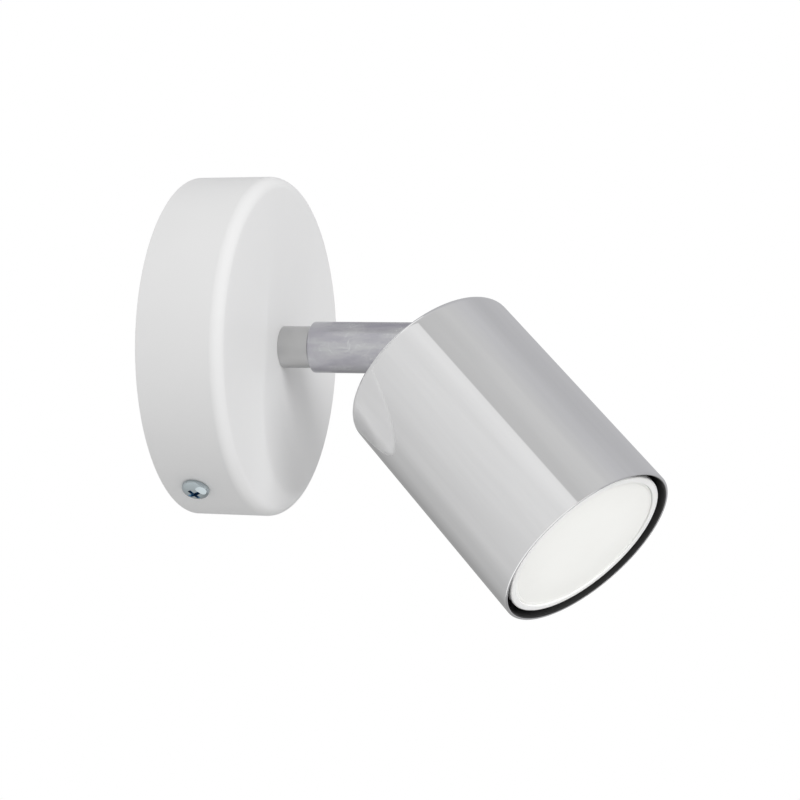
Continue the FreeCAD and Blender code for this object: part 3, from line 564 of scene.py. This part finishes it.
def side_screws():
    """Both screws as one piece: they share one node."""
    seat = Matrix.Translation((CANOPY_RADIUS * MM, 0, SIDE_SCREW_HEIGHT * MM))
    outwards = Matrix.Rotation(math.radians(90), 4, "Y") @ Matrix.Rotation(math.radians(28), 4, "Z")
    pair = []
    for side, angle in (("near", 0), ("far", 180)):
        round_canopy = Matrix.Rotation(math.radians(angle), 4, "Z")
        pair.append(side_screw("side_screw_" + side, PLATE @ round_canopy @ seat @ outwards))
    work_on(pair[0])
    pair[1].select_set(True)
    bpy.ops.object.join()
    pair[0].name = "canopy_side_screws_turned"
    return pair[0]


dressed(side_screws(), "canopy_side_screws")


# ---------------------------------------------------------------- the parts that keep their shape

FINISHES = {
    "wall_plate": STEEL, "swivel_stem": STEEL, "stem_washer": STEEL, "stem_nut": STEEL,
    "swivel_stop_pin": STEEL, "terminal_block": BLOCK, "terminal_inserts": BRASS, "terminal_screws": STEEL,
    "lead_live": LIVE, "lead_neutral": NEUTRAL, "earth_screw": BRASS, "earth_lead": EARTH,
    "slip_washer": STEEL, "arm_knuckle": ARM_PLATING, "pivot_screw": STEEL, "arm_leads": HEAD_SLEEVE,
    "head_knuckle": KNUCKLE_PLATING, "pivot_washer": STEEL, "knuckle_washer": STEEL, "knuckle_nut": STEEL,
    "socket_holder": STEEL, "socket_body": CERAMIC, "socket_contacts": BRASS, "socket_screws": STEEL,
    "head_leads": HEAD_SLEEVE, "lamp_light_board": BOARD, "lamp_pins": STEEL,
}


# Widths in millimetres of the broken corners, the finer one for the arm's half of the knuckle
EASED_EDGE = 0.08
FINE_EDGE = 0.02


def eased_copy(label):
    """The part's own shape, its facets made one smooth surface and its corners slightly broken."""
    piece = bpy.data.objects.new(label + "_eased", NODES[label].data.copy())
    bpy.context.collection.objects.link(piece)
    piece.data.materials.clear()
    work_on(piece)
    bpy.ops.object.mode_set(mode="EDIT")
    bpy.ops.mesh.select_all(action="SELECT")
    bpy.ops.mesh.remove_doubles(threshold=0.002 * MM)
    bpy.ops.mesh.dissolve_limited(angle_limit=math.radians(0.5))
    bpy.ops.object.mode_set(mode="OBJECT")
    corners = piece.modifiers.new("corners", "BEVEL")
    corners.limit_method = "ANGLE"
    corners.angle_limit = math.radians(50)
    corners.width = (FINE_EDGE if label == "arm_knuckle" else EASED_EDGE) * MM
    corners.segments = 2
    bpy.ops.object.modifier_apply(modifier="corners")
    return smoothed(piece)


for label, finish in FINISHES.items():
    dressed(eased_copy(label), label, finish)


# ---------------------------------------------------------------- studio

def seen_directly(shading):
    """One for the rays that see a backdrop: from the camera, or by way of metal or glass."""
    path = shading.node("ShaderNodeLightPath")
    camera_ray, glossy_ray, clear_ray = (Value(shading, path.outputs["Is %s Ray" % kind])
                                         for kind in ("Camera", "Glossy", "Transmission"))
    return (camera_ray + glossy_ray).math("ADD", clear_ray, clamp=True)


def studio_world(light):
    """White to the eye and in the metal, and a plain soft light on everything else."""
    world = bpy.data.worlds.new("studio")
    bpy.context.scene.world = world
    world.use_nodes = True
    shading = Shading(world.node_tree)
    backdrop = world.node_tree.nodes["Background"]
    backdrop.inputs["Color"].default_value = grey(1)
    shading.feed(backdrop.inputs["Strength"], light + seen_directly(shading) * (1 - light))


def hang_lamp(data, place, direction):
    """Put a lamp in its place, shining in a direction and unseen in the metal."""
    lamp = bpy.data.objects.new(data.name, data)
    bpy.context.collection.objects.link(lamp)
    lamp.location = place
    lamp.rotation_euler = direction.to_track_quat("-Z", "Y").to_euler()
    lamp.visible_glossy = False


def key_lamp(power):
    """Big soft lamp above the camera and to its right."""
    place = Vector((-0.87, -1.25, 0.66))
    data = bpy.data.lights.new("key", "AREA")
    data.shape = "DISK"
    data.size = 0.75
    data.energy = power
    hang_lamp(data, place, Vector((0, -0.05, 0)) - place)


def face_spot(power):
    """Narrow lamp on the front of the head, so that its white face reads as white."""
    front = HEAD @ Vector((0, 0, LAMP_FACE * MM))
    back = Vector((-0.36, -0.86, -0.36)).normalized()
    data = bpy.data.lights.new("face_spot", "SPOT")
    data.energy = power
    data.spot_size = math.radians(4.2)
    data.spot_blend = 0.25
    data.shadow_soft_size = 0.02
    hang_lamp(data, front + 0.9 * back, -back)


def floor(depth, glow):
    """Pale floor well under the light, white to the eye, that keeps the light's shadow."""
    deselect_all()
    bpy.ops.mesh.primitive_plane_add(size=6, location=(0, 0, -depth))
    ground = bpy.context.object
    ground.name = "studio_floor"
    paint = Finish("floor_white", Base_Color=grey(0.8), Roughness=0.9, Emission_Color=grey(1))
    paint.set(Emission_Strength=seen_directly(paint) * glow)
    ground.data.materials.append(paint.material)


# The greys that the head's polished side mirrors, by their angle round the head's line from the camera
SCREEN = [(-175, 0.36), (-150, 0.38), (-122, 0.56), (-104, 0.60), (-92, 0.68), (-78, 0.70), (-56, 0.77),
          (-26, 0.82), (-10, 0.83), (0, 0.81), (8, 0.86), (14, 0.89), (22.6, 0.88), (23.6, 0.60), (39, 0.64),
          (60, 0.695), (82, 0.62), (110, 0.55), (140, 0.55), (175, 0.50)]


def screen_grey():
    """Glowing grey ramp round the screen's own Z, a little blue past 75 degrees."""
    made = Finish("screen_grey", Base_Color=grey(0), Emission_Strength=1.0, Specular_IOR_Level=0.0)
    parts = made.node("ShaderNodeSeparateXYZ", Vector=made.place)
    across, over = (Value(made, parts.outputs[axis]) for axis in "XY")
    turn = over.math("ARCTAN2", across) * (0.5 / math.pi) + 0.5
    ramp = made.node("ShaderNodeValToRGB", Fac=turn)
    stops = ramp.color_ramp.elements
    while len(stops) < len(SCREEN):
        stops.new(0.5)
    for stop, (degrees, level) in zip(stops, SCREEN):
        stop.position = degrees / 360 + 0.5
        stop.color = grey(level, 0.016 if degrees > 75 else 0)
    made.set(Emission_Color=ramp.outputs["Color"])
    return made.material


def round_screen():
    """Big open cylinder round the head's line, seen only in shiny metal."""
    line = -(HEAD.to_3x3() @ Vector((0, 0, 1)))
    back = camera_back()
    first = (back - back.dot(line) * line).normalized()
    axes = Matrix((first, line.cross(first), line)).transposed().to_4x4()
    deselect_all()
    bpy.ops.mesh.primitive_cylinder_add(vertices=96, radius=0.85, depth=6, end_fill_type="NOTHING")
    screen = bpy.context.object
    screen.name = "studio_screen"
    screen.matrix_world = Matrix.Translation(HEAD @ Vector((0, 0, 45 * MM))) @ axes
    screen.data.materials.append(screen_grey())
    for kind in ("camera", "diffuse", "transmission", "volume_scatter", "shadow"):
        setattr(screen, "visible_" + kind, False)


# The camera as it was fitted to the photograph's outlines: metres, degrees, and pixels of a frame 800 wide
CAMERA_DISTANCE = 0.600
CAMERA_AZIMUTH = -72.791
CAMERA_ELEVATION = -0.892
CAMERA_ROLL = 1.321
FRAME_PIXELS = 800
FOCAL_PIXELS = 2006.0
WALL_POINT_PIXEL = (205.28, 346.07)
SENSOR_WIDTH = 36


def camera_back():
    """From the light towards the camera."""
    azimuth, elevation = math.radians(CAMERA_AZIMUTH), math.radians(CAMERA_ELEVATION)
    return Vector((math.sin(azimuth) * math.cos(elevation), -math.cos(azimuth) * math.cos(elevation),
                   math.sin(elevation)))


def camera():
    """Where the photograph was taken from: the frame's origin on the wall lands on its own pixel."""
    back = camera_back()
    roll = math.radians(CAMERA_ROLL)
    level = (-back).cross(Vector((0, 0, 1))).normalized()
    upright = level.cross(-back)
    right = math.cos(roll) * level + math.sin(roll) * upright
    up = -math.sin(roll) * level + math.cos(roll) * upright
    metres_per_pixel = CAMERA_DISTANCE / FOCAL_PIXELS
    across = (WALL_POINT_PIXEL[0] - FRAME_PIXELS / 2) * metres_per_pixel
    lift = (FRAME_PIXELS / 2 - WALL_POINT_PIXEL[1]) * metres_per_pixel
    data = bpy.data.cameras.new("camera")
    data.sensor_width = SENSOR_WIDTH
    data.lens = FOCAL_PIXELS * SENSOR_WIDTH / FRAME_PIXELS
    data.clip_start = 0.01
    eye = bpy.data.objects.new("camera", data)
    bpy.context.collection.objects.link(eye)
    place = back * CAMERA_DISTANCE - right * across - up * lift
    eye.matrix_world = Matrix.Translation(place) @ Matrix((right, up, back)).transposed().to_4x4()
    bpy.context.scene.camera = eye


studio_world(light=0.72)
key_lamp(power=12.4)
face_spot(power=6.5)
floor(depth=0.95, glow=0.39)
round_screen()
camera()
bpy.context.scene.view_settings.view_transform = "Standard"
